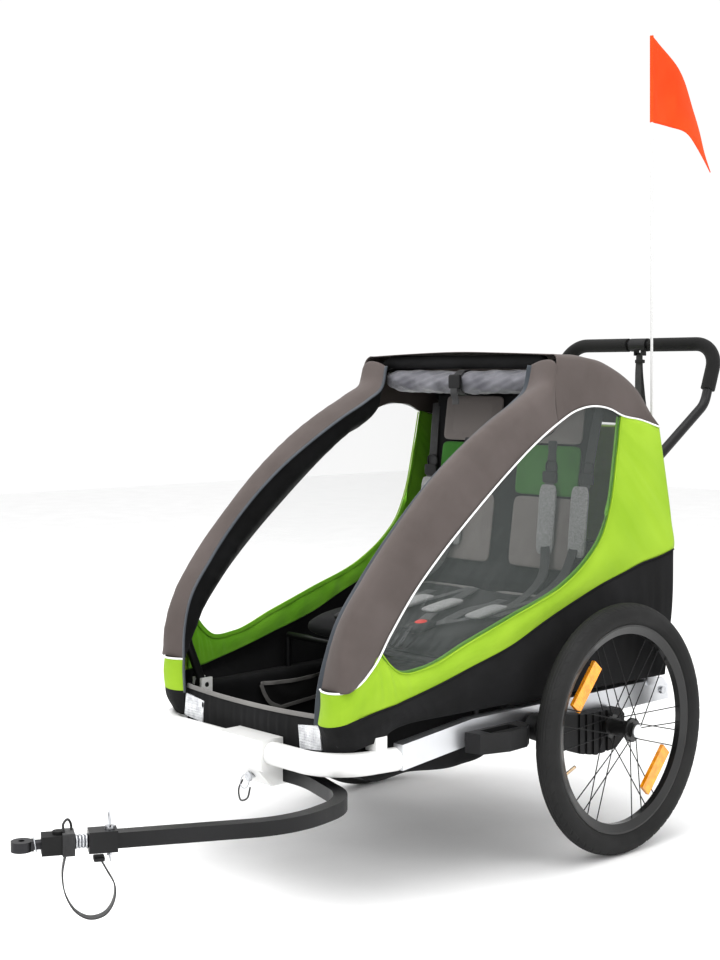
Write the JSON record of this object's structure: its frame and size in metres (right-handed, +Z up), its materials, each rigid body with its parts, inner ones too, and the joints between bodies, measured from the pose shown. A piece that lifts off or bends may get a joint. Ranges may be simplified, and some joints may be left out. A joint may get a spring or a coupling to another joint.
{
  "type": "child bicycle trailer",
  "caption": "Two-wheeled child bicycle trailer with a folding tube frame, fabric cabin, side hitch arm, push handle and safety flag.",
  "frame": {"origin": "centre of the bounding box at ground level; the wheel axles are at z = 0.252 m", "axes": "+X is the trailer's left, -Y is forward towards the bicycle, +Z is up"},
  "size_m": [0.828, 1.8318, 1.7223],
  "materials": {
    "white_powder_coat": "satin white powder coat",
    "silver_rail": "satin anodised",
    "black_tube": "satin black powder coat",
    "black_fabric": "matt woven nylon",
    "black_plastic": "fine matt texture",
    "silver_reflector": "prismatic reflector",
    "steel": "zinc plated",
    "rubber": "matt rubber",
    "green_fabric": "matt coated polyester",
    "window_film": "clear flexible film, lightly tinted",
    "grey_fabric": "matt grey-brown polyester",
    "seat_fabric": "matt grey-brown polyester",
    "webbing": "ribbed webbing",
    "pad_fabric": "soft grey melange",
    "satin_roll": "satin coated grey cover",
    "foam": "soft matt foam",
    "tyre": "matt tyre rubber",
    "rim": "satin black",
    "amber": "amber reflector",
    "button_silver": "satin",
    "white_pole": "white fibreglass",
    "orange_flag": "bright nylon"
  },
  "bodies": {
    "chassis": {"bumper_tube": "white_powder_coat", "side_rail_left": "silver_rail", "side_rail_right": "silver_rail", "cross_tubes": "black_tube", "front_bracket": "white_powder_coat", "floor_tub": "black_fabric", "tub_walls": "black_fabric", "front_apron": "black_fabric", "front_reflectors": "silver_reflector", "step_bumpers": "black_plastic", "frame_bolts": "steel", "suspension_bushes": "rubber", "side_panel_left": "green_fabric", "side_panel_right": "green_fabric", "windows": "window_film", "pillar_cover_left": "grey_fabric", "pillar_cover_right": "grey_fabric", "roof_cover": "grey_fabric", "rear_panel": "green_fabric", "backrest": "seat_fabric", "seat_cushion": "seat_fabric", "shoulder_straps": "webbing", "shoulder_pads": "pad_fabric", "harness_buckles": "black_plastic", "fabric_pockets": "black_fabric", "hitch_arm": "black_tube", "hitch_spring": "steel"},
    "rear_frame": {"rear_hoop": "black_tube", "roof_bar": "black_tube", "handle_brackets": "black_plastic", "cover_roll": "satin_roll", "roll_strap": "webbing"},
    "front_pillar_left": {"pillar_left": "black_tube"},
    "front_pillar_right": {"pillar_right": "black_tube"},
    "push_handle": {"handle_bar": "black_tube", "foam_grips": "foam", "handle_clamp": "black_plastic"},
    "wrist_loop": {"wrist_strap": "webbing"},
    "coupler": {"flex_block": "rubber", "safety_strap": "webbing"},
    "tow_eye_head": {"hitch_eye": "steel"},
    "arm_lock_pin": {"lock_pin": "steel"},
    "safety_flag": {"flag_pole": "white_pole", "flag": "orange_flag"},
    "suspension_left": {"swing_arm_left": "black_plastic"},
    "quick_axle_left": {"stub_axle_left": "steel"},
    "wheel_left": {"hub_left": "rim", "rim_left": "rim", "tyre_left": "tyre", "spokes_left": "black_tube", "spoke_reflectors_left": "amber"},
    "release_button_left": {"hub_button_left": "button_silver"},
    "suspension_right": {"swing_arm_right": "black_plastic"},
    "quick_axle_right": {"stub_axle_right": "steel"},
    "wheel_right": {"hub_right": "rim", "rim_right": "rim", "tyre_right": "tyre", "spokes_right": "black_tube", "spoke_reflectors_right": "amber"},
    "release_button_right": {"hub_button_right": "button_silver"}
  },
  "joints": [
    {"name": "rear_frame_fold", "type": "hinge", "parent": "chassis", "child": "rear_frame", "pos_m": [0, 0.52409, 0.331], "axis": [1, 0, 0], "range_deg": [0, 55], "deforming": ["side_panel_left", "side_panel_right", "windows", "pillar_cover_left", "pillar_cover_right", "roof_cover", "rear_panel", "backrest", "shoulder_straps", "shoulder_pads"]},
    {"name": "pillar_fold_left", "type": "hinge", "parent": "chassis", "child": "front_pillar_left", "pos_m": [0.246, -0.24391, 0.331], "axis": [1, 0, 0], "range_deg": [-47, 0]},
    {"name": "pillar_fold_right", "type": "hinge", "parent": "chassis", "child": "front_pillar_right", "pos_m": [-0.246, -0.24391, 0.331], "axis": [1, 0, 0], "range_deg": [-47, 0]},
    {"name": "handle_tilt", "type": "hinge", "parent": "rear_frame", "child": "push_handle", "pos_m": [0, 0.59609, 0.735], "axis": [1, 0, 0], "range_deg": [-55, 38]},
    {"name": "wrist_strap_swing", "type": "hinge", "parent": "push_handle", "child": "wrist_loop", "pos_m": [0, 0.89944, 1.01749], "axis": [1, 0, 0], "range_deg": [-60, 60]},
    {"name": "suspension_travel_left", "type": "hinge", "parent": "chassis", "child": "suspension_left", "pos_m": [0.328, 0.13861, 0.277], "axis": [1, 0, 0], "range_deg": [-3, 8], "stiffness_Nm_per_rad": 500, "springref_deg": -1.43},
    {"name": "wheel_release_left", "type": "slide", "parent": "suspension_left", "child": "quick_axle_left", "axis": [1, 0, 0], "range_m": [0, 0.06]},
    {"name": "wheel_spin_left", "type": "hinge", "parent": "quick_axle_left", "child": "wheel_left", "pos_m": [0.374, 0.34409, 0.252], "axis": [1, 0, 0], "continuous": true},
    {"name": "hub_button_press_left", "type": "slide", "parent": "quick_axle_left", "child": "release_button_left", "axis": [-1, 0, 0], "range_m": [0, 0.0035], "stiffness_N_per_m": 600, "springref_m": -0.002},
    {"name": "suspension_travel_right", "type": "hinge", "parent": "chassis", "child": "suspension_right", "pos_m": [-0.328, 0.13861, 0.277], "axis": [1, 0, 0], "range_deg": [-3, 8], "stiffness_Nm_per_rad": 500, "springref_deg": -1.43},
    {"name": "wheel_release_right", "type": "slide", "parent": "suspension_right", "child": "quick_axle_right", "axis": [-1, 0, 0], "range_m": [0, 0.06]},
    {"name": "wheel_spin_right", "type": "hinge", "parent": "quick_axle_right", "child": "wheel_right", "pos_m": [-0.374, 0.34409, 0.252], "axis": [1, 0, 0], "continuous": true},
    {"name": "hub_button_press_right", "type": "slide", "parent": "quick_axle_right", "child": "release_button_right", "axis": [1, 0, 0], "range_m": [0, 0.0035], "stiffness_N_per_m": 600, "springref_m": -0.002},
    {"name": "coupler_flex", "type": "hinge", "parent": "chassis", "child": "coupler", "pos_m": [0.1899, -0.81565, 0.217], "axis": [0, 0, 1], "range_deg": [-20, 20], "stiffness_Nm_per_rad": 8, "deforming": ["hitch_spring"]},
    {"name": "tow_eye_swivel", "type": "hinge", "parent": "coupler", "child": "tow_eye_head", "pos_m": [0.16718, -0.85907, 0.217], "axis": [-0.4637, -0.886, 0], "range_deg": [-90, 90]},
    {"name": "lock_pin_pull", "type": "slide", "parent": "chassis", "child": "arm_lock_pin", "axis": [0, 0, 1], "range_m": [0, 0.06]},
    {"name": "flag_pull", "type": "slide", "parent": "chassis", "child": "safety_flag", "axis": [0, 0, 1], "range_m": [0, 0.14]}
  ],
  "couplings": [
    {"joint": "pillar_fold_left", "follows": "rear_frame_fold", "ratio": -0.85},
    {"joint": "pillar_fold_right", "follows": "rear_frame_fold", "ratio": -0.85}
  ]
}
